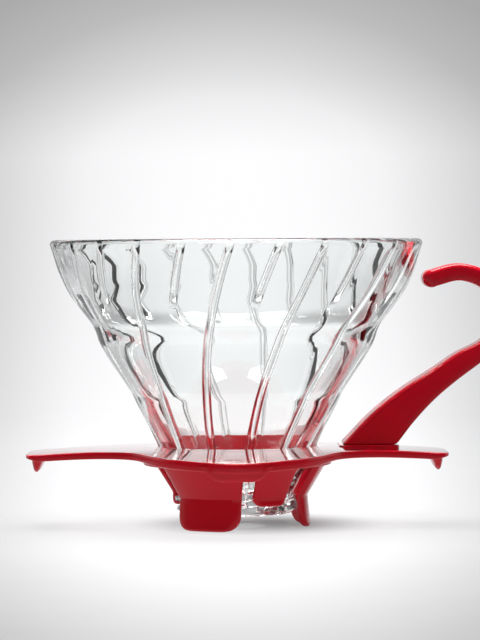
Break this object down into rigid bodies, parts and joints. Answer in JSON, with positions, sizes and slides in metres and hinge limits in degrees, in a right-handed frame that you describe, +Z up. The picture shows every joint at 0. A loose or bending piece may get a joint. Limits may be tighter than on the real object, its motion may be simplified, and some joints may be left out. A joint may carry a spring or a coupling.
{
  "type": "pour over dripper",
  "caption": "Clear glass coffee cone with spiral ribs on a red plastic base, with a hooked side handle and a turning ring of short and long legs.",
  "frame": {"origin": "on the axis of the cone, in the plane of the feet of the long legs", "axes": "+Z up along the axis of the cone, +X towards the handle"},
  "size_m": [0.1517, 0.1162, 0.0896],
  "materials": {
    "clear_glass": "polished",
    "red_plastic": "gloss"
  },
  "bodies": {
    "holder": {"base_plate": "red_plastic", "handle": "red_plastic"},
    "ring": {"lock_ring": "red_plastic"},
    "glass": {"glass_cone": "clear_glass"}
  },
  "joints": [
    {"name": "ring_turn", "type": "hinge", "parent": "holder", "child": "ring", "pos_m": [0, 0, 0.021], "axis": [0, 0, -1], "range_deg": [0, 60]},
    {"name": "glass_lift", "type": "slide", "parent": "holder", "child": "glass", "axis": [0, 0, 1], "range_m": [0, 0.0015]}
  ],
  "couplings": [
    {"joint": "ring_turn", "follows": "glass_lift", "rad_per_m": 698.13}
  ]
}
